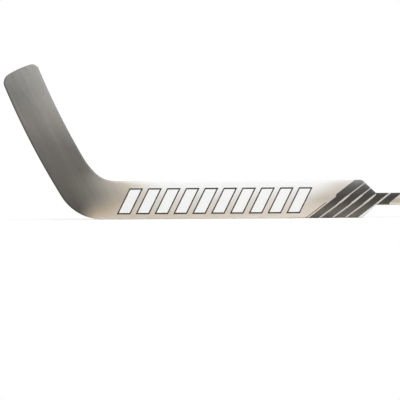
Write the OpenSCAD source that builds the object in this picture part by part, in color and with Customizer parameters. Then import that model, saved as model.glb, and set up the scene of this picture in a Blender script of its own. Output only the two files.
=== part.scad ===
// Goaltender's ice hockey stick with a foam core, built as a glued lay-up.
// The stick rests on the lower edge of its paddle. +X runs along the shaft to the butt,
// +Z is up towards the blade's toe, and the toe bows to +Y, the forehand side.
// The origin is on the lower edge, at the middle of its straight stretch. Sizes are in millimetres.

/* [Shaft] */
// Width of the shaft
shaft_w = 28; // [22:0.5:30]
// Bare shaft from the shoulders to the butt
shaft_len = 710; // [400:10:800]
// Drop of the shaft's axis below the middle of the paddle
shaft_drop = 0.7; // [0:0.1:2]
// Width of the centre ply of the shaft
centre_ply_w = 10.5; // [6:0.5:14]
// Thickness of shaft and paddle
stick_t = 20; // [17:0.5:25]

/* [Paddle] */
// Heel corner to the start of the shoulders
paddle_len = 654; // [450:1:720]
// Width of the paddle at the heel
paddle_w = 88.2; // [80:0.1:95]
// Width of the paddle at the shoulders
shoulder_w = 87.2; // [70:0.1:95]
// Length of the sloping shoulders
shoulder_len = 32; // [25:1:60]
// Radius of the shoulder corners
shoulder_r = 10; // [8:0.5:20]

/* [Heel] */
// Angle between shaft and blade at the heel
lie_angle = 121.5; // [112:0.25:126]
// Radius of the heel
heel_r = 111.5; // [96:0.5:120]
// Radius of the throat, the inner bend between blade and paddle
throat_r = 66; // [50:1:80]
// Radius of the gentler bend that leads from the blade into the throat
lead_r = 171; // [100:1:200]
// Angle through which the gentler bend turns
lead_angle = 13.5; // [8:0.5:15]
// Straight length of the heel block past the throat
block_land = 12; // [5:1:60]
// Length of the heel block's tenon between the outer plies
tenon_len = 45; // [20:1:80]
// Length of the heel block's tongue in the blade core
tongue_len = 40; // [20:1:60]
// Width of the tongue
tongue_w = 40; // [20:1:55]
// Thickness of the tongue
tongue_t = 6; // [4:0.5:10]

/* [Blade] */
// Heel corner to the tip of the toe, along the lower edge
blade_len = 372; // [300:1:394]
// Width of the blade
blade_w = 88.9; // [80:0.1:95]
// Thickness of the blade at its toe
toe_t = 11; // [10:0.5:16]
// Radius of the rocker, the lower edge's lengthwise curve
rocker_r = 1900; // [1200:50:4000]
// Distance from the heel bend to where the blade starts to bow and to thin
curve_start = 72; // [70:1:120]
// Radius of the blade's bow towards the forehand
curve_r = 1300; // [800:50:4000]
// Angle by which the blade's face opens at the toe
loft_angle = 5; // [0:0.5:10]
// Height of the toe's furthest point above the lower edge
toe_peak = 51; // [40:1:55]
// Radius of the toe's crown
toe_crown_r = 200; // [120:5:400]
// Radius of the toe's lower corner
toe_low_r = 22.5; // [10:0.5:30]
// Radius of the toe's upper corner
toe_top_r = 15.5; // [8:0.5:25]
// Straight length of the toe block before its corners
toe_land = 5; // [2:0.5:30]

/* [Lay-up] */
// Thickness of the glass-fibre skins
skin_t = 0.8; // [0.5:0.1:2]
// Width of the edging strips
edge_w = 5; // [4:0.5:7]
// Radius of all outer edges
edge_r = 4.5; // [3:0.1:4.9]
// Glue gap round the tenon and the tongue
glue_gap = 0.15; // [0.05:0.05:0.3]

/* [Hidden] */
$fn = 96;

// Paint, wood and foam colours
blade_paint = "#77736f";
paddle_paint = "#e4e0d8";
shaft_paint = "#c4bbaf";
birch = "#d9bf94";
aspen = "#e8dcc0";
foam = "#f1ead6";
maple = "#c79f6c";

// Segments of each round stretch
skin_n = 3;
edge_n = 4;
heel_n = 8;
corner_n = 5;
toe_n = 6;
blade_n = 14;
// Width of the flat facet at the very tip of the toe
tip_flat = 2;

// Sides of the stick
forehand = 1;
backhand = -1;

function dir(a) = [cos(a), sin(a)];
function deg(x) = x * 180 / PI;
function rad(a) = a * PI / 180;
function flip(list) = [for (i = [len(list) - 1:-1:0]) list[i]];

// Heel: the lower edge lies on the X axis and its corner with the blade's lower edge is at x = 0
root_a = 90 + lie_angle;
heel_tan = heel_r * tan((270 - root_a) / 2);
heel_c = [heel_tan, heel_r];
rock_c = heel_c - (rocker_r - heel_r) * dir(root_a);

// Upper edge of the paddle: from [0, paddle_w] down to the shoulder corner
taper = atan2(paddle_w - shoulder_w, paddle_len);
upper_corner = [paddle_len, shoulder_w];
lower_corner = [paddle_len, 0];

// Throat: its tight bend is tangent to the paddle's upper edge and its gentler one to the blade's upper edge
lead_end_a = root_a + lead_angle;
lead_off = (throat_r - lead_r) * dir(lead_end_a);
lead_ref = [0, paddle_w] + throat_r * dir(90 - taper) + lead_off - rock_c;
lead_along = lead_ref * dir(-taper);
lead_reach = rocker_r - blade_w - lead_r;
lead_s = -lead_along - sqrt(lead_along ^ 2 - lead_ref * lead_ref + lead_reach ^ 2);
lead_c = lead_ref + rock_c + lead_s * dir(-taper);
throat_c = lead_c - lead_off;
throat_a = 360 + atan2(lead_c.y - rock_c.y, lead_c.x - rock_c.x);
throat_end_a = 270 - taper;
throat_mid = (throat_a + throat_end_a) / 2;
throat_end = throat_c + throat_r * dir(throat_end_a);
throat_p = rad(root_a - throat_a) * rocker_r;

// Shaft and spar
axis_z = shoulder_w / 2 - shaft_drop;
spar_low = axis_z - shaft_w / 2;
spar_top = axis_z + shaft_w / 2;
shaft_x = paddle_len + shoulder_len;
butt_x = shaft_x + shaft_len;
half_t = stick_t / 2;
inner_t = half_t - skin_t;
block_x = throat_end.x + block_land;
low_slope_a = atan2(spar_low, shoulder_len);
top_slope_a = atan2(shoulder_w - spar_top, shoulder_len);

// Straight stretch of the lower edge, on which the stick rests
rest_end = paddle_len - shoulder_r * tan(low_slope_a / 2);
rest_x = (heel_tan + rest_end) / 2;

// Toe in blade coordinates: p along the blade from the heel bend, q across it from the lower edge
tip_p = blade_len - heel_tan;
crown_c = [tip_p - toe_crown_r, toe_peak];
low_q = toe_low_r - toe_peak;
low_c = crown_c + [sqrt((toe_crown_r - toe_low_r) ^ 2 - low_q ^ 2), low_q];
low_a = atan2(low_c.y - crown_c.y, low_c.x - crown_c.x);
top_q = blade_w - toe_top_r - toe_peak;
top_c = crown_c + [sqrt((toe_crown_r - toe_top_r) ^ 2 - top_q ^ 2), top_q];
top_a = atan2(top_c.y - crown_c.y, top_c.x - crown_c.x);
tip_a = deg(tip_flat / 2 / toe_crown_r);
toe_p = min(low_c.x, top_c.x) - toe_land;
tongue_p = throat_p / 2 + tongue_len;

// Levels round an outer edge, each as [inset from the outline, depth below the face, side]
meet_a = asin((edge_r - skin_t) / edge_r);
function level(a, side) = [edge_r * (1 - cos(a)), edge_r * (1 - sin(a)), side];
function skin_levels(side) = [for (i = [0:skin_n]) level(meet_a + (90 - meet_a) * i / skin_n, side)];
edge_levels = concat(
    [for (i = [edge_n:-1:0]) level(meet_a * i / edge_n, backhand)],
    [for (i = [0:edge_n]) level(meet_a * i / edge_n, forehand)]
);
core_levels = [[edge_w, skin_t, backhand], [edge_w, skin_t, forehand]];

// Outline of the stick as chains of points in the XZ plane, moved inwards by an inset d
function blade_at(v) = rock_c + (rocker_r - v.y) * dir(root_a - deg(v.x / rocker_r));
function on_arc(c, r, a1, a2, share) = c + r * dir(a1 + (a2 - a1) * share);
function arc(c, r, a1, a2, n) = [for (i = [0:n]) on_arc(c, r, a1, a2, i / n)];
function open_arc(c, r, a1, a2, n) = [for (i = [0:n - 1]) on_arc(c, r, a1, a2, i / n)];
function toe_low(d) = [
    for (v = concat(
        open_arc(crown_c, toe_crown_r - d, -tip_a, low_a, toe_n),
        arc(low_c, toe_low_r - d, low_a, -90, toe_n)
    )) blade_at(v)
];
function toe_top(d) = [
    for (v = concat(
        open_arc(crown_c, toe_crown_r - d, tip_a, top_a, toe_n),
        arc(top_c, toe_top_r - d, top_a, 90, toe_n)
    )) blade_at(v)
];
function span(q) = [for (i = [0:blade_n]) blade_at([toe_p + (curve_start - toe_p) * i / blade_n, q])];
function heel(d) = arc(heel_c, heel_r - d, root_a, 270, 2 * heel_n);
function throat(d) = concat(
    open_arc(lead_c, lead_r + d, throat_a, lead_end_a, heel_n / 2),
    open_arc(throat_c, throat_r + d, lead_end_a, throat_mid, heel_n / 2),
    arc(throat_c, throat_r + d, throat_mid, throat_end_a, heel_n)
);
function blade_half(bend) = [for (i = [0:heel_n]) bend[i]];
function paddle_half(bend) = [for (i = [heel_n:2 * heel_n]) bend[i]];
function shoulder_c(corner, a1, a2, side) =
    corner - shoulder_r * tan(abs(a2 - a1) / 2) * dir(a1) + shoulder_r * side * dir(a1 + 90);
function shoulder(corner, a1, a2, side, d) =
    arc(shoulder_c(corner, a1, a2, side), shoulder_r - d, a1 - 90 * side, a2 - 90 * side, corner_n);
function lower_shoulder(d) = shoulder(lower_corner, 0, low_slope_a, 1, d);
function upper_shoulder(d) = shoulder(upper_corner, -taper, -top_slope_a, -1, d);

// Whole chains: the blade from its toe to the heel joint, and the paddle from there to the shaft
function bottom_strip(d) = concat(span(d), blade_half(heel(d)));
function top_strip(d) = concat(span(blade_w - d), blade_half(throat(d)));
function blade_low(d) = concat(toe_low(d), bottom_strip(d));
function blade_top(d) = concat(toe_top(d), top_strip(d));
function paddle_low(d) = concat(paddle_half(heel(d)), lower_shoulder(d), [[shaft_x, spar_low + d]]);
function paddle_top(d) = concat(paddle_half(throat(d)), upper_shoulder(d), [[shaft_x, spar_top - d]]);

// Chains of the paddle's edging strips; those of the shoulders run on past the spar
function lower_strip(d) = concat(paddle_half(heel(d)), [lower_shoulder(d)[0]]);
function upper_strip(d) = concat(paddle_half(throat(d)), [upper_shoulder(d)[0]]);
function run_on(chain, a) = concat(chain, [chain[len(chain) - 1] + norm([shoulder_len, axis_z]) * dir(a)]);

// A point of the outline in space: the blade bows, opens and thins towards its toe
function lift(v, lev) =
    let (
        p = rad(root_a - 360 - atan2(v.y - rock_c.y, v.x - rock_c.x)) * rocker_r,
        q = rocker_r - norm(v - rock_c),
        past = max(0, p - curve_start),
        share = past / (tip_p - curve_start),
        bow = past ^ 2 / (2 * curve_r) - (q - blade_w / 2) * tan(loft_angle * share),
        half = half_t - (stick_t - toe_t) / 2 * share
    )
    [v.x, bow + lev[2] * (half - lev[1]), v.y];

// Closed rings, one for each station of two chains, through all levels of both
function rings(lows, tops, levels) = [
    for (i = [0:len(lows[0]) - 1])
        concat(
            [for (j = [0:len(levels) - 1]) lift(lows[j][i], levels[j])],
            flip([for (j = [0:len(levels) - 1]) lift(tops[j][i], levels[j])])
        )
];

// Solid through a row of rings, with both ends closed by strips.
// The last wall is split the other way, so that facing walls share their diagonals.
module loft(rows, inward) {
    m = len(rows[0]);
    last = (len(rows) - 1) * m;
    walls = [
        for (i = [0:len(rows) - 2], j = [0:m - 1])
            let (a = i * m + j, b = i * m + (j + 1) % m)
            each j < m - 1
                ? [[a, b + m, b], [a, a + m, b + m]]
                : [[a, a + m, b], [b, a + m, b + m]]
    ];
    ends = [
        for (j = [0:m / 2 - 2])
            let (a = j, b = j + 1, c = m - 2 - j, d = m - 1 - j)
            each [[a, b, c], [a, c, d], [last + a, last + c, last + b], [last + a, last + d, last + c]]
    ];
    faces = concat(walls, ends);
    polyhedron([for (r = rows) each r], inward ? [for (f = faces) flip(f)] : faces);
}

// Turns a flat drawing of the XZ plane upright
module stand() rotate([90, 0, 0]) children();

// Brings the middle of the resting edge to the origin
module placed() translate([-rest_x, 0, 0]) children();

// Box along the stick, given by its ends in x and in z and by its half thickness
module bar(x1, x2, z1, z2, half) translate([x1, -half, z1]) cube([x2 - x1, 2 * half, z2 - z1]);

// Outer ply of the shaft on one side of the centre ply: square in the paddle, rounded on the bare shaft
module outer_ply(side) {
    z1 = axis_z + side * centre_ply_w / 2;
    z2 = axis_z + side * shaft_w / 2;
    bar(block_x, shaft_x, min(z1, z2), max(z1, z2), inner_t);
    translate([shaft_x, 0, 0]) rotate([90, 0, 90]) linear_extrude(shaft_len)
        polygon(concat(
            [for (l = edge_levels) [l[2] * (half_t - l[1]), z2 - side * l[0]]],
            [[inner_t, z1], [-inner_t, z1]]
        ));
}

module shaft_skin(side) {
    levels = skin_levels(side);
    lows = [for (l = levels) [l[2] * (half_t - l[1]), spar_low + l[0]]];
    tops = [for (l = levels) [l[2] * (half_t - l[1]), spar_top - l[0]]];
    translate([shaft_x, 0, 0]) rotate([90, 0, 90]) linear_extrude(shaft_len) polygon(concat(lows, flip(tops)));
}

module paddle_skin(side) {
    levels = skin_levels(side);
    lows = [for (l = levels) paddle_low(l[0])];
    tops = [for (l = levels) paddle_top(l[0])];
    loft(rings(lows, tops, levels), side < 0);
}

module blade_skin(side) {
    levels = skin_levels(side);
    lows = [for (l = levels) blade_low(l[0])];
    tops = [for (l = levels) blade_top(l[0])];
    loft(rings(lows, tops, levels), side < 0);
}

// Edging strip between an outer chain at every level and the inner chain
module edge_strip(outer, inner, upper) {
    loft(rings(outer, [for (l = edge_levels) inner], edge_levels), upper);
}

// Cuts the spar out of a shoulder's strip, which runs out on it
module clear_of_spar() {
    difference() {
        children();
        bar(paddle_len - shoulder_len, shaft_x + shoulder_len, spar_low, spar_top, stick_t);
    }
}

// Foam panel between the spar and an edging strip, from the heel block to the shoulder
module paddle_core(start, bend, slope, spar_z) {
    tip = bend[corner_n] + (spar_z - bend[corner_n].y) / sin(slope) * dir(slope);
    stand() translate([0, 0, -inner_t]) linear_extrude(2 * inner_t)
        polygon(concat([[block_x, spar_z], start], bend, [[tip.x, spar_z]]));
}
core_low = [block_x, edge_w];
core_top = [block_x, paddle_w - block_x * tan(taper) - edge_w / cos(taper)];

// Tongue of the heel block, or with a gap the slot for it
module tongue(gap) {
    q1 = (blade_w - tongue_w) / 2 - gap;
    q2 = (blade_w + tongue_w) / 2 + gap;
    back = -tongue_len;
    front = tongue_p + gap;
    thick = tongue_t + 2 * gap;
    stand() translate([0, 0, -thick / 2]) linear_extrude(thick)
        polygon([for (v = [[back, q1], [front, q1], [front, q2], [back, q2]]) blade_at(v)]);
}

module shaft_centre_ply() {
    z = centre_ply_w / 2;
    color(aspen) placed()
        bar(block_x + tenon_len + glue_gap, butt_x, axis_z - z, axis_z + z, inner_t);
}

module shaft_upper_ply() color(birch) placed() outer_ply(1);

module shaft_lower_ply() color(birch) placed() outer_ply(-1);

module shaft_forehand_skin() color(shaft_paint) placed() shaft_skin(forehand);

module shaft_backhand_skin() color(shaft_paint) placed() shaft_skin(backhand);

module paddle_upper_core() {
    color(foam) placed() paddle_core(core_top, upper_shoulder(edge_w), -top_slope_a, spar_top);
}

module paddle_lower_core() {
    color(foam) placed() paddle_core(core_low, lower_shoulder(edge_w), low_slope_a, spar_low);
}

module paddle_upper_edge() {
    outer = [for (l = edge_levels) upper_strip(l[0])];
    color(paddle_paint) placed() edge_strip(outer, upper_strip(edge_w), true);
}

module paddle_lower_edge() {
    outer = [for (l = edge_levels) lower_strip(l[0])];
    color(paddle_paint) placed() edge_strip(outer, lower_strip(edge_w), false);
}

module upper_shoulder_edge() {
    outer = [for (l = edge_levels) run_on(upper_shoulder(l[0]), -top_slope_a)];
    inner = run_on(upper_shoulder(edge_w), -top_slope_a);
    color(paddle_paint) placed() clear_of_spar() edge_strip(outer, inner, true);
}

module lower_shoulder_edge() {
    outer = [for (l = edge_levels) run_on(lower_shoulder(l[0]), low_slope_a)];
    inner = run_on(lower_shoulder(edge_w), low_slope_a);
    color(paddle_paint) placed() clear_of_spar() edge_strip(outer, inner, false);
}

module paddle_forehand_skin() color(paddle_paint) placed() paddle_skin(forehand);

module paddle_backhand_skin() color(paddle_paint) placed() paddle_skin(backhand);

module heel_block() {
    z = centre_ply_w / 2 - glue_gap;
    color(maple) placed() {
        stand() translate([0, 0, -inner_t]) linear_extrude(2 * inner_t)
            polygon(concat(heel(edge_w), [core_low, core_top], flip(throat(edge_w))));
        bar(block_x - block_land, block_x + tenon_len, axis_z - z, axis_z + z, inner_t);
        tongue(0);
    }
}

module blade_core() {
    lows = concat(span(edge_w), [heel(edge_w)[0]]);
    tops = concat(span(blade_w - edge_w), [throat(edge_w)[0]]);
    color(foam) placed() difference() {
        loft(rings([lows, lows], [tops, tops], core_levels), false);
        tongue(glue_gap);
    }
}

module blade_bottom_edge() {
    outer = [for (l = edge_levels) bottom_strip(l[0])];
    color(blade_paint) placed() edge_strip(outer, bottom_strip(edge_w), false);
}

module blade_top_edge() {
    outer = [for (l = edge_levels) top_strip(l[0])];
    color(blade_paint) placed() edge_strip(outer, top_strip(edge_w), true);
}

module blade_toe_block() {
    lows = [for (l = edge_levels) concat(toe_low(l[0]), [span(l[0])[0]])];
    tops = [for (l = edge_levels) concat(toe_top(l[0]), [span(blade_w - l[0])[0]])];
    color(blade_paint) placed() loft(rings(lows, tops, edge_levels), false);
}

module blade_forehand_skin() color(blade_paint) placed() blade_skin(forehand);

module blade_backhand_skin() color(blade_paint) placed() blade_skin(backhand);

shaft_centre_ply();
shaft_upper_ply();
shaft_lower_ply();
shaft_forehand_skin();
shaft_backhand_skin();
paddle_upper_core();
paddle_lower_core();
paddle_upper_edge();
paddle_lower_edge();
upper_shoulder_edge();
lower_shoulder_edge();
paddle_forehand_skin();
paddle_backhand_skin();
heel_block();
blade_core();
blade_bottom_edge();
blade_top_edge();
blade_toe_block();
blade_forehand_skin();
blade_backhand_skin();
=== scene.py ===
from math import atan2, cos, degrees, radians, sin, sqrt, tan

import bmesh
import bpy
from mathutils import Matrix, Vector
from mathutils.kdtree import KDTree


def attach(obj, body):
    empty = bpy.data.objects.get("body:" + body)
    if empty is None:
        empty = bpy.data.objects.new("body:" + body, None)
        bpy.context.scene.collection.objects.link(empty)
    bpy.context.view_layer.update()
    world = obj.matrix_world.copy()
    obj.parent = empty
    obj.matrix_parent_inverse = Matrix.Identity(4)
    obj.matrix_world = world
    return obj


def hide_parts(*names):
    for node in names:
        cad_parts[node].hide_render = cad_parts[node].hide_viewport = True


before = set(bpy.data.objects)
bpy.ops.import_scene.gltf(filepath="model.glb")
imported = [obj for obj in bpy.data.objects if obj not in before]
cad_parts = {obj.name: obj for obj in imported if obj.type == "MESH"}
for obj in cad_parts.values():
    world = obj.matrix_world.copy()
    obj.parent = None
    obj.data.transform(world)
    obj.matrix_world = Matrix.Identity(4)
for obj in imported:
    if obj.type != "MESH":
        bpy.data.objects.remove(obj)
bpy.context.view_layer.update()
mm = 0.001
weld = 1e-4  # mm, points this near are one
slack = 1  # mm, room for telling places apart
square = 0.999  # a face square to an axis has at least this much of its normal along it
up, right, forehand = Vector((0, 0, 1)), Vector((1, 0, 0)), Vector((0, 1, 0))

# Plan of the stick in mm and degrees, with the heel corner at x = 0 and the lower edge at z = 0
plan = {
    "paddleLen": 654, "paddleW": 88.2, "shoulderW": 87.2, "shoulderLen": 32, "shoulderR": 10,
    "shaftW": 28, "shaftLen": 710, "shaftDrop": 0.7, "centrePly": 10.5,
    "thick": 20, "skin": 0.8, "strip": 5, "edgeR": 4.5,  # section
    "lie": 121.5, "heelR": 111.5, "throatR": 66, "leadR": 171, "leadTurn": 13.5, "blockLand": 12,
    "bladeLen": 372, "bladeW": 88.9, "rockerR": 1900,
    "bowStart": 72, "bowR": 1300, "loft": 5, "toeT": 11,  # how the blade bows, opens and thins
    "toePeak": 51, "crownR": 200, "toeLowR": 22.5, "toeTopR": 15.5, "toeLand": 5,
}
steps = {  # how many stretches each bend is made of
    "heel": 24, "blade": 36, "corner": 12, "crown": 14, "lead": 10, "throat": 18,
    "round": 10, "shoulder": 8, "bow": 28,
}


def ray(angle):  # unit vector in the XZ plane, in degrees from +X towards +Z
    return Vector((cos(radians(angle)), 0, sin(radians(angle))))


# Heel: its bend runs from the paddle's lower edge into the blade's rocker
rockerR, bladeW, half = plan["rockerR"], plan["bladeW"], plan["thick"] / 2
inner = half - plan["skin"]
rootA = 90 + plan["lie"]
heelTan = plan["heelR"] * tan(radians(270 - rootA) / 2)
heelC = Vector((heelTan, 0, plan["heelR"]))
rockC = heelC - (rockerR - plan["heelR"]) * ray(rootA)

# Throat: a gentler bend leads from the blade's upper edge into it
taper = degrees(atan2(plan["paddleW"] - plan["shoulderW"], plan["paddleLen"]))
leadEndA = rootA + plan["leadTurn"]
leadOff = (plan["throatR"] - plan["leadR"]) * ray(leadEndA)
leadRef = plan["paddleW"] * up + plan["throatR"] * ray(90 - taper) + leadOff - rockC
leadAlong = leadRef.dot(ray(-taper))
leadReach = rockerR - bladeW - plan["leadR"]
leadS = -leadAlong - sqrt(leadAlong ** 2 - leadRef.length_squared + leadReach ** 2)  # where both bends meet
leadC = leadRef + rockC + leadS * ray(-taper)
throatC = leadC - leadOff
throatA = 360 + degrees(atan2(leadC.z - rockC.z, leadC.x - rockC.x))
throatEndA = 270 - taper
throatP = radians(rootA - throatA) * rockerR

# Shoulders, spar and shaft
axisZ = plan["shoulderW"] / 2 - plan["shaftDrop"]
sparLow, sparTop = axisZ - plan["shaftW"] / 2, axisZ + plan["shaftW"] / 2
shaftX = plan["paddleLen"] + plan["shoulderLen"]
buttX = shaftX + plan["shaftLen"]
blockX = throatC.x + plan["throatR"] * ray(throatEndA).x + plan["blockLand"]
lowSlope = atan2(sparLow, plan["shoulderLen"])
topSlope = atan2(plan["shoulderW"] - sparTop, plan["shoulderLen"])
lowCorner = plan["paddleLen"] * right
topCorner = lowCorner + plan["shoulderW"] * up
lowReach = plan["shoulderR"] * tan(lowSlope / 2)
topReach = plan["shoulderR"] * tan((topSlope - radians(taper)) / 2)
restX = (heelTan + plan["paddleLen"] - lowReach) / 2  # the part's origin is here

# Toe: a crown between two corners, p along the blade and q across it
tipP = plan["bladeLen"] - heelTan
lowQ, topQ = plan["toeLowR"] - plan["toePeak"], bladeW - plan["toeTopR"] - plan["toePeak"]
lowP = tipP - plan["crownR"] + sqrt((plan["crownR"] - plan["toeLowR"]) ** 2 - lowQ ** 2)
topP = tipP - plan["crownR"] + sqrt((plan["crownR"] - plan["toeTopR"]) ** 2 - topQ ** 2)
lowA = degrees(atan2(lowQ, lowP - tipP + plan["crownR"]))
topA = degrees(atan2(topQ, topP - tipP + plan["crownR"]))
toeP = min(lowP, topP) - plan["toeLand"]


def bladeAngle(p):  # direction from the rocker's centre to a point along the blade
    return rootA - degrees(p / rockerR)


def bladeAt(p, q):  # point of the plan, p along the blade and q across it
    return rockC + (rockerR - q) * ray(bladeAngle(p))


def arc(bm, vert, centre, sweep, count):  # sweeps a vertex round a centre of the plan
    out = bmesh.ops.spin(bm, geom=[vert], cent=centre, axis=forehand, angle=radians(sweep), steps=count)
    return next(g for g in out["geom_last"] if isinstance(g, bmesh.types.BMVert))


def makeBody():  # the whole stick as one flat solid with rounded edges
    bm = bmesh.new()
    first = bm.verts.new((heelTan, 0, 0))
    vert = arc(bm, first, heelC, 270 - rootA, steps["heel"])
    vert = arc(bm, vert, rockC, degrees(lowP / rockerR), steps["blade"])
    vert = arc(bm, vert, bladeAt(lowP, plan["toeLowR"]), 90 + lowA, steps["corner"])
    crownC = bladeAt(tipP, plan["toePeak"]) + plan["crownR"] * ray(bladeAngle(tipP) + 90)
    vert = arc(bm, vert, crownC, topA - lowA, steps["crown"])
    vert = arc(bm, vert, bladeAt(topP, bladeW - plan["toeTopR"]), 90 - topA, steps["corner"])
    vert = arc(bm, vert, rockC, -degrees((topP - throatP) / rockerR), steps["blade"])
    vert = arc(bm, vert, leadC, throatA - leadEndA, steps["lead"])
    vert = arc(bm, vert, throatC, leadEndA - throatEndA, steps["throat"])
    shaft = (shaftX, sparTop), (buttX, sparTop), (buttX, sparLow), (shaftX, sparLow)
    corners = []
    for x, z in ((topCorner.x, topCorner.z), *shaft, (lowCorner.x, lowCorner.z)):
        corners.append(bm.verts.new((x, 0, z)))
        bm.edges.new((vert, corners[-1]))
        vert = corners[-1]
    bm.edges.new((vert, first))
    bmesh.ops.contextual_create(bm, geom=bm.edges[:])
    for corner, reach in ((corners[0], topReach), (corners[-1], lowReach)):
        bmesh.ops.bevel(
            bm, geom=[corner], offset=reach, segments=steps["shoulder"],
            profile=0.5, affect="VERTICES", material=-1,
        )
    bmesh.ops.translate(bm, verts=bm.verts, vec=-half * forehand)
    out = bmesh.ops.extrude_face_region(bm, geom=bm.faces[:])
    raised = [g for g in out["geom"] if isinstance(g, bmesh.types.BMVert)]
    bmesh.ops.translate(bm, verts=raised, vec=2 * half * forehand)
    rims = [e for e in bm.edges if abs(e.verts[0].co.y - e.verts[1].co.y) < half]  # round both faces
    rims = [e for e in rims if min(v.co.x for v in e.verts) < buttX - slack]  # but not at the butt
    bmesh.ops.bevel(
        bm, geom=rims, offset=plan["edgeR"], segments=steps["round"],
        profile=0.5, affect="EDGES", material=-1, clamp_overlap=False,
    )
    bmesh.ops.recalc_face_normals(bm, faces=bm.faces)
    for f in bm.faces:
        f.smooth = f.normal.x < square
    return bm


def cut(bm, point, normal, clear=False, faces=None):  # splits along a plane, or takes off what lies past it
    faces = faces or bm.faces[:]
    geom = list(dict.fromkeys(g for f in faces for g in (*f.verts, *f.edges, f)))
    bmesh.ops.bisect_plane(bm, geom=geom, dist=weld, plane_co=point, plane_no=normal, clear_outer=clear)
    if clear:  # closes the cut
        out = bmesh.ops.holes_fill(bm, edges=[e for e in bm.edges if e.is_boundary])
        for f in out["faces"]:
            f.smooth = False


def keep(source, *planes):  # a copy of a solid with everything past these planes taken off
    bm = source.copy()
    for point, normal in planes:
        cut(bm, point, normal, True)
    return bm


def stations(bm):  # cuts across the blade, so that it can bow
    for i in range(steps["bow"] + 1):
        p = plan["bowStart"] + (tipP - plan["bowStart"]) * i / steps["bow"]
        cut(bm, rockC, ray(bladeAngle(p) - 90))


def bend(bm):  # bows, opens and thins the blade towards its toe
    for v in bm.verts:
        away = v.co - rockC
        p = radians(rootA - 360 - degrees(atan2(away.z, away.x))) * rockerR
        past = max(0, p - plan["bowStart"])
        if past:
            share = past / (tipP - plan["bowStart"])
            q = rockerR - sqrt(away.x ** 2 + away.z ** 2)
            bow = past ** 2 / (2 * plan["bowR"]) - (q - bladeW / 2) * tan(radians(plan["loft"] * share))
            thin = (plan["thick"] - plan["toeT"]) / 2 * share
            v.co.y = bow + (v.co.y - thin if v.co.y > 0 else v.co.y + thin)


# Planes of the joints, each as a point and the side that goes
heelMid = heelC + plan["heelR"] * ray((rootA + 270) / 2)
throatMid = throatC + plan["throatR"] * ray((throatA + throatEndA) / 2)
mitreLine = (throatMid - heelMid).normalized()
paddleSide = Vector((mitreLine.z, 0, -mitreLine.x))
toeDir = ray(bladeAngle(toeP) - 90)
bladeMid, acrossDir = bladeAt(toeP / 2, bladeW / 2), -ray(bladeAngle(toeP / 2))
lowStart, topStart = lowCorner - lowReach * right, topCorner - topReach * ray(-taper)
noPaddle, noBlade = (heelMid, paddleSide), (heelMid, -paddleSide)
noToe, onlyToe = (rockC, toeDir), (rockC, -toeDir)
noTop, noLow = (axisZ * up, up), (axisZ * up, -up)
noBladeTop, noBladeLow = (bladeMid, acrossDir), (bladeMid, -acrossDir)
noLowShoulder, onlyLowShoulder = (lowStart, right), (lowStart, -right)
noTopShoulder, onlyTopShoulder = (topStart, ray(-taper)), (topStart, -ray(-taper))
noShaft, onlyShaft = (shaftX * right, right), (shaftX * right, -right)
foreCap, backCap = (inner * forehand, -forehand), (-inner * forehand, forehand)
noFore, noBack = (inner * forehand, forehand), (-inner * forehand, -forehand)

body = makeBody()
slab = keep(body, noFore, noBack)  # what lies between the skins
ring = slab.copy()  # the strip all round
caps = sorted(ring.faces, key=lambda f: f.calc_area())[-2:]  # the two wide faces
roundOff = plan["edgeR"] - sqrt(plan["edgeR"] ** 2 - (plan["edgeR"] - plan["skin"]) ** 2)
bmesh.ops.inset_region(ring, faces=caps, thickness=plan["strip"] - roundOff, use_even_offset=True)
bmesh.ops.delete(ring, geom=caps, context="FACES")
sides = bmesh.ops.bridge_loops(ring, edges=[e for e in ring.edges if e.is_boundary])["faces"]
for f in sides + [f for f in ring.faces if abs(f.normal.y) > square]:
    f.smooth = False
bmesh.ops.recalc_face_normals(ring, faces=ring.faces)
print("stick shaped:", len(body.faces), "faces, strip", len(ring.faces), "faces")

# Normals of the whole painted surface, so that no joint shows a crease
jointPlanes = (
    noFore, noBack, noPaddle, noToe, noShaft, noLowShoulder, noTopShoulder,
    (sparLow * up, up), (sparTop * up, up),
)
for point, normal in jointPlanes:
    cut(body, point, normal)
whole = body.copy()
stations(whole)
flat = [v.co.copy() for v in whole.verts]
bend(whole)
whole.normal_update()
shade = []
nearest = KDTree(len(flat))
for i, v in enumerate(whole.verts):
    shade.append(sum((f.normal * f.calc_area() for f in v.link_faces if f.smooth), Vector()).normalized())
    nearest.insert(flat[i], i)
nearest.balance()
whole.free()


def srgb(code):  # hex colour to linear RGBA
    parts = [int(code[i:i + 2], 16) / 255 for i in (1, 3, 5)]
    return [c / 12.92 if c <= 0.04045 else ((c + 0.055) / 1.055) ** 2.4 for c in parts] + [1]


def newTree(data):  # an empty node tree of a material or a world
    data.use_nodes = True
    data.node_tree.nodes.clear()
    return data.node_tree


def add(tree, kind, inputs=(), pick=0, stops=(), **settings):  # a node, its settings and links
    node = tree.nodes.new("ShaderNode" + kind)
    for name, value in settings.items():
        setattr(node, name, value)
    for i, (place, code) in enumerate(stops):
        stop = node.color_ramp.elements[i] if i < 2 else node.color_ramp.elements.new(place)
        stop.position, stop.color = place, srgb(code)
    for name, value in inputs.items() if isinstance(inputs, dict) else enumerate(inputs):
        if isinstance(value, bpy.types.NodeSocket):
            tree.links.new(value, node.inputs[name])
        else:
            node.inputs[name].default_value = value
    return node.outputs[pick] if node.outputs else node


colours = {"pick": 2, "data_type": "RGBA"}  # settings of a Mix node for colours
amount, base, over = 0, 6, 7  # and its sockets
noiseSpan = 0.3, 0.7  # most of a noise lies in here

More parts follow.
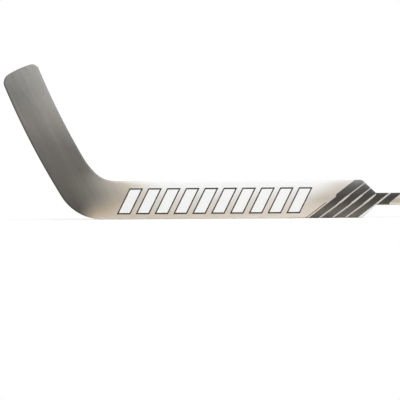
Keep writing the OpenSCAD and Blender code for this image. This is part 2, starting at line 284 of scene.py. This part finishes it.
# Places and sizes in the paint are in mm of the plan, and the ramps of its pieces run upwards
bladePaint = {
    "turn": 117,  # degrees, lays the blade along X
    "top": 341, "sides": (-18, -92),  # height of the ramps, and the way across from one to the other
    # the ramps are partly painted light: lighter towards the toe and the upper side, where top light falls
    # on the bowed blade, darker towards the heel; the graphite paint is the rest
    "iceSide": (
        (0.09, "#59554e"), (0.16, "#605c56"), (0.28, "#66625c"), (0.5, "#6e6b65"), (0.67, "#807c77"),
        (0.85, "#787772"), (1.0, "#868581"),
    ),
    "topSide": (
        (0.0, "#8d877d"), (0.22, "#87837a"), (0.33, "#69655f"), (0.48, "#6f6b66"), (0.64, "#928d86"),
        (0.8, "#a7a39d"), (1.0, "#a7a49f"),
    ),
    "streak": (200, 16.7, 10.5), "streakShift": (0, 0, 9.8), "streakTone": (0.935, 1.095),
    # painted shade: the rounded ice edge is darkened where it faces down and away from the light
    "paintedShade": "#33302c", "paintedShadeTurn": -4, "paintedShadeFacing": (0.1, 0.75), "paintedShadeMost": 0.9,  # on the ice edge
}


# painted light in the ramps along the blade, and painted shade round the ice edge
def bladeColour(tree, spot, z, facing):  # graphite with lengthwise streaks, darker round the ice edge
    turned = add(tree, "Mapping", (spot, (0, 0, 0), (0, radians(bladePaint["turn"]), 0)))
    across = add(tree, "SeparateXYZ", (turned,), "Z")
    height = add(tree, "MapRange", (z, 0.0, bladePaint["top"]))
    iceSide = add(tree, "ValToRGB", (height,), stops=bladePaint["iceSide"])
    topSide = add(tree, "ValToRGB", (height,), stops=bladePaint["topSide"])
    side = add(tree, "MapRange", (across, *bladePaint["sides"]))
    colour = add(tree, "Mix", {amount: side, base: iceSide, over: topSide}, **colours)
    perSize = [1 / size for size in bladePaint["streak"]]
    grain = add(tree, "Mapping", (turned, bladePaint["streakShift"], (0, 0, 0), perSize))
    streak = add(tree, "TexNoise", {"Vector": grain, "Scale": 1.0, "Detail": 3.0, "Roughness": 0.6})
    tone = add(tree, "MapRange", (streak, *noiseSpan, *bladePaint["streakTone"]))
    colour = add(tree, "HueSaturation", {"Color": colour, "Value": tone})
    # painted shade round the ice edge: darker the more the surface faces the ice
    iceward = ray(rootA + bladePaint["paintedShadeTurn"])
    under = add(tree, "VectorMath", (facing, iceward), "Value", operation="DOT_PRODUCT")
    paintedShade = add(tree, "MapRange", (under, *bladePaint["paintedShadeFacing"], 0.0, bladePaint["paintedShadeMost"]))
    colour = add(tree, "Mix", {amount: paintedShade, base: colour, over: srgb(bladePaint["paintedShade"])}, **colours)
    return colour, streak


heelFade = {
    "ends": (20, 220), "bow": 0.04, "bowZ": 61, "foot": (-18, 44),
    "bowTop": (84, 30),  # the bow levels off above this, over so much
    # painted highlight: the rounded upper edge near the throat turns light sooner
    "rimZ": (78, 88), "rimX": (75, 115), "rimPaintedHighlight": 22,  # the upper edge turns light sooner
    # painted light: the lowest rim at the heel, where it faces down, turns light against its shade
    "soleTurn": 260, "soleFacing": (0.15, 0.7), "soleX": (22, 31), "solePaintedLight": 45,  # and the lowest rim too
    "warmth": ((0.0, "#ffffff"), (0.5, "#fff4e4"), (1.0, "#ffffff")),  # from its start to its end
}


# the fade also carries a painted highlight on the upper edge and painted light on the lowest rim
def fadeAmount(tree, x, z, facing):  # from blade to paddle, bowed across the heel
    low = add(tree, "Math", (z, *heelFade["bowTop"]), operation="SMOOTH_MIN")
    off = add(tree, "Math", (low, heelFade["bowZ"]), operation="SUBTRACT")
    bowed = add(tree, "Math", (off, off), operation="MULTIPLY")
    foot = add(tree, "MapRange", (x, *heelFade["foot"]))
    bowed = add(tree, "Math", (bowed, foot), operation="MULTIPLY")
    along = add(tree, "Math", (bowed, heelFade["bow"], x), operation="MULTIPLY_ADD")
    # painted highlight along the upper edge, then painted light on the down-facing lowest rim
    paintedRimLight = add(tree, "MapRange", (z, *heelFade["rimZ"], 0.0, heelFade["rimPaintedHighlight"]))
    rimFrom = add(tree, "MapRange", (x, *heelFade["rimX"]))
    along = add(tree, "Math", (paintedRimLight, rimFrom, along), operation="MULTIPLY_ADD")
    down = add(tree, "VectorMath", (facing, ray(heelFade["soleTurn"])), "Value", operation="DOT_PRODUCT")
    paintedSoleLight = add(tree, "MapRange", (down, *heelFade["soleFacing"], 0.0, heelFade["solePaintedLight"]))
    soleFrom = add(tree, "MapRange", (x, *heelFade["soleX"]))
    along = add(tree, "Math", (paintedSoleLight, soleFrom, along), operation="MULTIPLY_ADD")
    return add(tree, "MapRange", (along, *heelFade["ends"]), interpolation_type="SMOOTHSTEP")


paddlePaint = {
    "ends": (150, 520), "silverFrom": (442, 516),
    # the ramps' white top stands partly for a painted highlight on the rounded upper edge, and their light
    # lowest stop is painted light against the shade under the rim; between them the fade is printed
    "heelEnd": (
        (0.0, "#efe6d8"), (0.06, "#d2c7b7"), (0.12, "#d1c7b6"), (0.3, "#d9d1c4"), (0.5, "#e2ded7"),
        (0.7, "#f0efec"), (0.85, "#fbfbf9"), (0.95, "#ffffff"),
    ),
    "shaftEnd": (
        (0.0, "#fffaf2"), (0.06, "#e5dacd"), (0.12, "#e2d6c9"), (0.3, "#e4dbce"), (0.5, "#e7e2da"),
        (0.7, "#f2f1ee"), (0.85, "#fcfcfb"), (0.95, "#ffffff"),
    ),
    "silver": (
        (0.0, "#e6ddd1"), (0.2, "#e0d6c8"), (0.35, "#d6ccbf"), (0.5, "#c7beb2"), (0.65, "#d3cabe"),
        (0.85, "#dbd4cb"), (0.97, "#f0ede9"),
    ),
}


# lighter upwards partly as a printed fade and partly as a painted highlight on the upper rim, with painted
# light on the lowest rim
def paddleColour(tree, x, rise, slant):  # silver white, lighter upwards, warm silver before the stripes
    heelEnd = add(tree, "ValToRGB", (rise,), stops=paddlePaint["heelEnd"])
    shaftEnd = add(tree, "ValToRGB", (rise,), stops=paddlePaint["shaftEnd"])
    along = add(tree, "MapRange", (x, *paddlePaint["ends"]))
    colour = add(tree, "Mix", {amount: along, base: heelEnd, over: shaftEnd}, **colours)
    silver = add(tree, "ValToRGB", (rise,), stops=paddlePaint["silver"])
    turn = add(tree, "MapRange", (slant, *paddlePaint["silverFrom"]), interpolation_type="SMOOTHSTEP")
    return add(tree, "Mix", {amount: turn, base: colour, over: silver}, **colours)


bars = {
    "mid": 41, "half": 29.7, "slant": 0.5, "from": 88, "count": 10, "pitch": 43, "width": 31,
    "outlineW": 3.2, "outline": "#2b2a29", "white": "#fbfbfa",
}


def printBars(tree, x, z, colour):  # row of slanted bars on the face, white inside a dark outline
    lean = add(tree, "Math", (z, -bars["slant"], x), operation="MULTIPLY_ADD")
    fromBar = add(tree, "Math", (lean, bars["from"] + bars["width"] / 2), operation="SUBTRACT")
    fromBar = add(tree, "Math", (fromBar, bars["pitch"] / 2), operation="PINGPONG")
    rowHalf = bars["count"] * bars["pitch"] / 2
    rowMid = bars["from"] + rowHalf - (bars["pitch"] - bars["width"]) / 2
    inRow = add(tree, "Math", (lean, rowMid, rowHalf), operation="COMPARE")
    for inset, code in ((0, bars["outline"]), (bars["outlineW"], bars["white"])):
        inBar = add(tree, "Math", (fromBar, bars["width"] / 2 - inset), operation="LESS_THAN")
        inBar = add(tree, "Math", (inBar, inRow), operation="MULTIPLY")
        level = add(tree, "Math", (z, bars["mid"], bars["half"] - inset), operation="COMPARE")
        inside = add(tree, "Math", (inBar, level), operation="MULTIPLY")
        colour = add(tree, "Mix", {amount: inside, base: colour, over: srgb(code)}, **colours)
    return colour


stripes = {
    # past the stripes the lower shoulder is painted near white: its pale paint, lightened further as
    # painted light against the shade of its down-facing rim
    "slope": 1.31, "start": 530.9, "end": 643.4, "paintedRimLight": "#fbf9f3",
    "notch": (48, 54.5), "notchW": 7,  # a step in the first edge
    "key": 524.9, "keyW": 1.6, "keyTop": 35.5, "keyline": "#6f5d50",  # thin line ahead of the first edge
    "gap": 557.9, "pitch": 29.6, "lines": 3, "line": "#cfcac2", "lineW": (2.6, 1.75),
    "kinkZ": 29, "kink": 0.08, "kinkMax": 25, "swellZ": 42.6, "swell": (10.8, 6.9), "swellW": 1.2,
    # the ramp's lighter top stands partly for a painted highlight on the rounded upper edge
    "tone": (
        (0.13, "#68635a"), (0.25, "#605b53"), (0.38, "#4e4943"), (0.48, "#403d38"), (0.58, "#42403d"),
        (0.65, "#4b4a47"), (0.75, "#53534f"), (0.87, "#6a6b66"), (1.0, "#969792"),
    ),
    "deepX": (640, 690), "deep": (1.0, 0.88),
    # painted light: the stripes lighten along their lowest rim, standing in for light bounced up from the
    # floor
    "footX": (575, 605), "foot": (-0.28, 0.17), "footZ": (13, 3), "paintedBounceLight": (0.9, 3.4), "paintedBounceZ": (2.2, 0),
}


# the light along the lowest rim is painted light, and the lighter top of the ramp a painted highlight
def stripeColour(tree, x, z, rise):  # dark grey, deeper towards the shaft, light along the lowest rim
    colour = add(tree, "ValToRGB", (rise,), stops=stripes["tone"])
    tone = add(tree, "MapRange", (x, *stripes["deepX"], *stripes["deep"]))
    for gains, heights in ((stripes["foot"], stripes["footZ"]), (stripes["paintedBounceLight"], stripes["paintedBounceZ"])):
        gain = add(tree, "MapRange", (x, *stripes["footX"], *gains))
        near = add(tree, "MapRange", (z, *heights))
        tone = add(tree, "Math", (gain, near, tone), operation="MULTIPLY_ADD")
    return add(tree, "HueSaturation", {"Color": colour, "Value": tone})


def printStripes(tree, z, slant, stripe, colour):  # round the shoulders, with lines that swell at the spar
    onKey = add(tree, "Math", (slant, stripes["key"], stripes["keyW"]), operation="COMPARE")
    lowKey = add(tree, "Math", (z, stripes["keyTop"]), operation="LESS_THAN")
    onKey = add(tree, "Math", (onKey, lowKey), operation="MULTIPLY")
    colour = add(tree, "Mix", {amount: onKey, base: colour, over: srgb(stripes["keyline"])}, **colours)
    # painted light: near white past the stripes, on the down-facing lower shoulder rim
    past = add(tree, "Math", (slant, stripes["end"]), operation="GREATER_THAN")
    colour = add(tree, "Mix", {amount: past, base: colour, over: srgb(stripes["paintedRimLight"])}, **colours)
    notch = add(tree, "MapRange", (z, *stripes["notch"]))
    notch = add(tree, "Math", (notch, stripes["notchW"], slant), operation="MULTIPLY_ADD")
    started = add(tree, "Math", (notch, stripes["start"]), operation="GREATER_THAN")
    dark = add(tree, "Math", (started, past), operation="SUBTRACT", use_clamp=True)

    fromKink = add(tree, "Math", (z, stripes["kinkZ"]), operation="SUBTRACT")
    fromKink = add(tree, "Math", (fromKink,), operation="ABSOLUTE")
    fromKink = add(tree, "Math", (fromKink, stripes["kinkMax"]), operation="MINIMUM")
    firstEnd = stripes["gap"] - stripes["pitch"] / 2
    lastEnd = firstEnd + stripes["pitch"] * stripes["lines"]
    held = add(tree, "Clamp", (slant, firstEnd, lastEnd))
    bent = add(tree, "Math", (fromKink, stripes["kink"], held), operation="MULTIPLY_ADD")
    step = add(tree, "Math", (bent, stripes["gap"]), operation="SUBTRACT")
    apart = add(tree, "Math", (step, stripes["pitch"] / 2), operation="PINGPONG")
    fromSpar = add(tree, "Math", (z, stripes["swellZ"]), operation="SUBTRACT")
    fromSpar = add(tree, "Math", (fromSpar,), operation="ABSOLUTE")
    swell = add(tree, "MapRange", (fromSpar, *stripes["swell"]))
    thin = add(tree, "MapRange", (z, sparLow, sparTop, *stripes["lineW"]))
    reach = add(tree, "Math", (swell, stripes["swellW"], thin), operation="MULTIPLY_ADD")
    onLine = add(tree, "Math", (apart, reach), operation="LESS_THAN")
    lined = add(tree, "Mix", {amount: onLine, base: stripe, over: srgb(stripes["line"])}, **colours)
    return add(tree, "Mix", {amount: dark, base: colour, over: lined}, **colours)


shaftPaint = {
    # painted light: the last stripe's lower edge on the shaft is lightened, standing in for light bounced
    # up from the floor
    "slope": 1.25, "gap": 647.5, "gapW": 3, "paintedBounceLight": 5.6, "paintedBounceZ": (3.8, 0),
    "stop": 674.1, "hem": 5.5, "hemZ": (5, 0.8),  # the last stripe ends here, further on at its hem
    "bare": (
        # the bare ramp's light lowest stop is painted light on the down-facing rounded edge
        (0.1, "#f2e9dd"), (0.19, "#cac0b3"), (0.38, "#c1b7ab"), (0.5, "#c5bbaf"), (0.62, "#d4cbc0"),
        (1.0, "#d8d0c6"),
    ),
}


# the last stripe with painted light along its lower edge, then warm silver with a painted light lowest rim
def shaftColour(tree, x, z, stripe):  # the last stripe, then warm silver
    slant = add(tree, "Math", (z, -shaftPaint["slope"], x), operation="MULTIPLY_ADD")
    onLine = add(tree, "Math", (slant, shaftPaint["gap"], shaftPaint["gapW"]), operation="COMPARE")
    # painted light along the stripe's lower edge
    bounceLightEnds = [sparLow + height for height in shaftPaint["paintedBounceZ"]]
    paintedBounceLight = add(tree, "MapRange", (z, *bounceLightEnds, 1.0, shaftPaint["paintedBounceLight"]), interpolation_type="SMOOTHSTEP")
    stripe = add(tree, "HueSaturation", {"Color": stripe, "Value": paintedBounceLight})
    lined = add(tree, "Mix", {amount: onLine, base: stripe, over: srgb(stripes["line"])}, **colours)
    across = add(tree, "MapRange", (z, sparLow, sparTop))
    bare = add(tree, "ValToRGB", (across,), stops=shaftPaint["bare"])
    hemEnds = [sparLow + height for height in shaftPaint["hemZ"]]
    hem = add(tree, "MapRange", (z, *hemEnds, shaftPaint["stop"], shaftPaint["stop"] + shaftPaint["hem"]))
    isBare = add(tree, "Math", (slant, hem), operation="GREATER_THAN")
    return add(tree, "Mix", {amount: isBare, base: lined, over: bare}, **colours)


clearCoat = {  # the flake is drawn coarser than real flake, so that it shows
    "veil": "#272624", "flake": 0.38, "flakeSpan": (0.2, 0.8), "flakeTone": (0.96, 1.04),
    "peel": 2.4, "rough": (0.37, 0.43),
}


def stickPaint():  # satin paint with fine flake and a faint orange peel in its clear coat
    mat = bpy.data.materials.new("sprayed and printed paint under clear coat")
    tree = newTree(mat)
    place = add(tree, "TexCoord", pick="Object")
    spot = add(tree, "Mapping", (place, (restX, 0, 0), (0, 0, 0), [1 / mm] * 3))  # plan in mm
    x, z = add(tree, "SeparateXYZ", (spot,), "X"), add(tree, "SeparateXYZ", (spot,), "Z")
    facing = add(tree, "NewGeometry", pick="Normal")
    rise = add(tree, "MapRange", (z, 0.0, plan["paddleW"]))
    slant = add(tree, "Math", (z, -stripes["slope"], x), operation="MULTIPLY_ADD")

    blade, streak = bladeColour(tree, spot, z, facing)
    paddle = paddleColour(tree, x, rise, slant)
    fade = fadeAmount(tree, x, z, facing)
    colour = add(tree, "Mix", {amount: fade, base: blade, over: paddle}, **colours)
    warmth = add(tree, "ValToRGB", (fade,), stops=heelFade["warmth"])
    colour = add(tree, "Mix", {amount: 1.0, base: colour, over: warmth}, blend_type="MULTIPLY", **colours)
    colour = printBars(tree, x, z, colour)
    stripe = stripeColour(tree, x, z, rise)
    colour = printStripes(tree, z, slant, stripe, colour)
    shaft = shaftColour(tree, x, z, stripe)
    onShaft = add(tree, "Math", (x, shaftX), operation="GREATER_THAN")
    colour = add(tree, "Mix", {amount: onShaft, base: colour, over: shaft}, **colours)

    # The clear coat adds a reflection of the white backdrop, so the paint under it is that much deeper
    veil = srgb(clearCoat["veil"])
    colour = add(tree, "Mix", {amount: 1.0, base: colour, over: veil}, blend_type="SUBTRACT", **colours)
    flake = add(tree, "TexNoise", {"Vector": spot, "Scale": 1 / clearCoat["flake"], "Detail": 1.0})
    glint = add(tree, "MapRange", (flake, *clearCoat["flakeSpan"], *clearCoat["flakeTone"]))
    colour = add(tree, "HueSaturation", {"Color": colour, "Value": glint})
    peel = add(tree, "TexNoise", {"Vector": spot, "Scale": 1 / clearCoat["peel"], "Detail": 2.0})
    bump = add(tree, "Bump", {"Strength": 0.03, "Distance": 0.0005, "Height": peel})
    rough = add(tree, "MapRange", (streak, *noiseSpan, *clearCoat["rough"]))
    shader = add(tree, "BsdfPrincipled", {
        "Base Color": colour, "Roughness": rough, "Specular IOR Level": 0.3,
        "Coat Weight": 0.25, "Coat Roughness": 0.1, "Coat Normal": bump,
    })
    add(tree, "OutputMaterial", (shader,))
    return mat


def wood(name, pale, dark, fibre):  # straight grain along the stick, dots on cut ends; fibre width in mm
    mat = bpy.data.materials.new(name)
    tree = newTree(mat)
    place = add(tree, "TexCoord", pick="Object")
    perFibre = [1 / (fibre * mm * length) for length in (25, 1, 1)]  # 25 times as long as wide
    grain = add(tree, "Mapping", (place, (0, 0, 0), (0, 0, 0), perFibre))
    fine = {"Vector": grain, "Scale": 1.0, "Detail": 6.0, "Roughness": 0.65, "Distortion": 0.3}
    strands = add(tree, "TexNoise", fine)
    bands = {"Vector": grain, "Scale": 0.18, "Distortion": 2.5, "Detail": 2.0}
    rings = add(tree, "TexWave", bands, "Fac", bands_direction="Z")
    tone = add(tree, "Mix", {"Factor": 0.4, "A": strands, "B": rings})
    colour = add(tree, "ValToRGB", (tone,), stops=((noiseSpan[0], dark), (noiseSpan[1], pale)))
    bump = add(tree, "Bump", {"Strength": 0.15, "Distance": 0.0004, "Height": strands})
    shader = add(tree, "BsdfPrincipled", {"Base Color": colour, "Roughness": 0.62, "Normal": bump})
    add(tree, "OutputMaterial", (shader,))
    return mat


def cutFoam(cell):  # pale cut face with fine closed cells, drawn coarse enough to show; cell size in mm
    mat = bpy.data.materials.new("rigid closed-cell foam")
    tree = newTree(mat)
    place = add(tree, "TexCoord", pick="Object")
    cells = add(tree, "TexVoronoi", {"Vector": place, "Scale": 1 / (cell * mm)}, "Distance")
    colour = add(tree, "ValToRGB", (cells,), stops=((0.0, "#e2d8bd"), (0.8, "#f1ead6")))
    bump = add(tree, "Bump", {"Strength": 0.4, "Distance": 0.0005, "Height": cells})
    shader = add(tree, "BsdfPrincipled", {"Base Color": colour, "Roughness": 0.8, "Normal": bump})
    add(tree, "OutputMaterial", (shader,))
    return mat


def fibreglass(thread):  # cured laminate, greenish amber with its weave; thread width in mm
    mat = bpy.data.materials.new("glass-fibre laminate")
    tree = newTree(mat)
    place = add(tree, "TexCoord", pick="Object")
    threads = {"Color1": srgb("#c9c29a"), "Color2": srgb("#b7b088")}
    weave = add(tree, "TexChecker", {"Vector": place, "Scale": 1 / (thread * mm), **threads})
    shader = add(tree, "BsdfPrincipled", {"Base Color": weave, "Roughness": 0.5})
    add(tree, "OutputMaterial", (shader,))
    return mat


stickCoat = stickPaint()
aspen = wood("sanded aspen", "#ecdfc2", "#d9c6a0", 1.1)
birch = wood("sanded birch", "#dcc298", "#c3a273", 0.9)
maple = wood("planed maple", "#c99f6a", "#a97b48", 1.25)
foam = cutFoam(0.9)
laminate = fibreglass(1.4)
within = {  # CAD nodes that stay, with better materials
    "shaft_centre_ply": aspen, "heel_block": maple,
    "paddle_upper_core": foam, "paddle_lower_core": foam, "blade_core": foam,
}
for name, mat in within.items():
    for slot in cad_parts[name].material_slots:
        slot.material = mat
print("materials made:", len(bpy.data.materials))


def finishPiece(name, bm, inside, across=False):  # bends, shades, paints and places a cut piece
    if across:
        stations(bm)
    layer = bm.verts.layers.float_vector.new("shade")
    for v in bm.verts:
        v[layer] = shade[nearest.find(v.co)[1]]
    bend(bm)
    for f in bm.faces:
        f.material_index = 0 if f.smooth else 1
    bmesh.ops.translate(bm, verts=bm.verts, vec=-restX * right)
    bmesh.ops.scale(bm, verts=bm.verts, vec=(mm, mm, mm))
    bmesh.ops.recalc_face_normals(bm, faces=bm.faces)
    mesh = bpy.data.meshes.new(name)
    bm.to_mesh(mesh)
    bm.free()
    kept = mesh.attributes["shade"].data
    normals = [Vector()] * len(mesh.loops)
    for poly in mesh.polygons:
        if poly.use_smooth:
            for i in poly.loop_indices:
                normals[i] = kept[mesh.loops[i].vertex_index].vector.copy()
    mesh.attributes.remove(mesh.attributes["shade"])
    mesh.normals_split_custom_set(normals)
    mesh.materials.append(stickCoat)
    mesh.materials.append(inside)
    piece = bpy.data.objects.new(name + "_painted", mesh)
    bpy.context.scene.collection.objects.link(piece)
    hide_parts(name)
    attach(piece, "root")


for side, cap in (("forehand", foreCap), ("backhand", backCap)):
    finishPiece(f"blade_{side}_skin", keep(body, cap, noPaddle), laminate, True)
    finishPiece(f"paddle_{side}_skin", keep(body, cap, noBlade, noShaft), laminate)
    finishPiece(f"shaft_{side}_skin", keep(body, cap, onlyShaft), laminate)
finishPiece("blade_bottom_edge", keep(ring, noPaddle, noToe, noBladeTop), birch, True)
finishPiece("blade_top_edge", keep(ring, noPaddle, noToe, noBladeLow), birch, True)
finishPiece("blade_toe_block", keep(slab, noPaddle, onlyToe), birch, True)
finishPiece("paddle_lower_edge", keep(ring, noBlade, noTop, noLowShoulder), birch)
finishPiece("paddle_upper_edge", keep(ring, noBlade, noLow, noTopShoulder), birch)
lowShoulder = keep(ring, onlyLowShoulder, noShaft, (sparLow * up, up))
topShoulder = keep(ring, onlyTopShoulder, noShaft, (sparTop * up, -up))
finishPiece("lower_shoulder_edge", lowShoulder, birch)
finishPiece("upper_shoulder_edge", topShoulder, birch)
for name, spar, outward in (("shaft_upper_ply", sparTop, up), ("shaft_lower_ply", sparLow, -up)):
    glueLine = axisZ * up + plan["centrePly"] / 2 * outward
    ply = keep(slab, (blockX * right, -right), (glueLine, -outward))
    cut(ply, *noShaft)
    inPaddle = [f for f in ply.faces if f.calc_center_median().x < shaftX]
    cut(ply, spar * up, outward, True, inPaddle)  # square in the paddle
    finishPiece(name, ply, birch)


def seesWhite(tree):  # rays that see the white backdrop: straight on, in a gloss or through glass
    seen = add(tree, "LightPath", pick="Is Camera Ray")
    for kind in ("Is Glossy Ray", "Is Transmission Ray"):
        seen = add(tree, "Math", (seen, add(tree, "LightPath", pick=kind)), operation="MAXIMUM")
    return seen


# White sweep in metres: the floor near the stick keeps its shadow, and further off it reads as plain white
sweep = {
    "size": 40, "paint": "#f2f2f2", "lift": 0.31,
    "shift": (-0.26, 0, 0), "oval": (0.7, 1.1, 1), "fade": (0.4, 1.1),
}
white = srgb("#ffffff")
floorMat = bpy.data.materials.new("white studio floor")
tree = newTree(floorMat)
seen = seesWhite(tree)
lift = add(tree, "Math", (seen, sweep["lift"]), operation="MULTIPLY")
glow = add(tree, "Emission", {"Color": white, "Strength": lift})
matt = add(tree, "BsdfDiffuse", {"Color": srgb(sweep["paint"])})
near = add(tree, "AddShader", (matt, glow))
far = add(tree, "Emission", {"Color": white, "Strength": 1.0})
place = add(tree, "TexCoord", pick="Object")
oval = add(tree, "Mapping", (place, sweep["shift"], (0, 0, 0), sweep["oval"]))
away = add(tree, "VectorMath", (oval,), "Value", operation="LENGTH")
blend = add(tree, "MapRange", (away, *sweep["fade"]), interpolation_type="SMOOTHSTEP")
share = add(tree, "Math", (blend, seen), operation="MULTIPLY")
add(tree, "OutputMaterial", (add(tree, "MixShader", (share, near, far)),))
bm = bmesh.new()
bmesh.ops.create_grid(bm, x_segments=1, y_segments=1, size=sweep["size"])
mesh = bpy.data.meshes.new("floor")
bm.to_mesh(mesh)
bm.free()
mesh.materials.append(floorMat)
floor = bpy.data.objects.new("floor", mesh)
bpy.context.scene.collection.objects.link(floor)

world = bpy.data.worlds.new("studio")
tree = newTree(world)
soft = add(tree, "Background", {"Color": white, "Strength": 0.3})
plain = add(tree, "Background", {"Color": white, "Strength": 1.0})
add(tree, "OutputWorld", (add(tree, "MixShader", (seesWhite(tree), soft, plain)),))
bpy.context.scene.world = world

aim = Vector((-0.05, 0, 0.1))  # over the paddle
lamps = {  # place, size, power
    "key": ((-0.9, -2.2, 2.4), 1.8, 46),
    "fill": ((1.6, -2.6, 1.2), 1.6, 27),
    "back": ((0.2, 2.4, 2.2), 1.8, 24),
}
for name, (place, size, power) in lamps.items():
    lamp = bpy.data.lights.new(name, "AREA")
    lamp.size, lamp.energy = size, power
    stand = bpy.data.objects.new(name, lamp)
    stand.location = place
    stand.rotation_euler = (aim - Vector(place)).to_track_quat("-Z", "Y").to_euler()
    bpy.context.scene.collection.objects.link(stand)

shot = {  # width and distance in metres, centre in mm of the plan, roll in degrees, sensor in mm
    "width": 0.9132, "dist": 7.0, "centre": (284.0, 43.1), "roll": 0.381, "sensor": 36,
}
camera = bpy.data.objects.new("camera", bpy.data.cameras.new("camera"))
camera.data.sensor_width = shot["sensor"]
camera.data.lens = shot["sensor"] * shot["dist"] / shot["width"]
camera.location = ((shot["centre"][0] - restX) * mm, -half * mm - shot["dist"], shot["centre"][1] * mm)
camera.rotation_euler = (radians(90), radians(shot["roll"]), 0)
camera.data.clip_end = 200
bpy.context.scene.collection.objects.link(camera)
bpy.context.scene.camera = camera
bpy.context.scene.view_settings.view_transform = "Standard"
print("stage set")
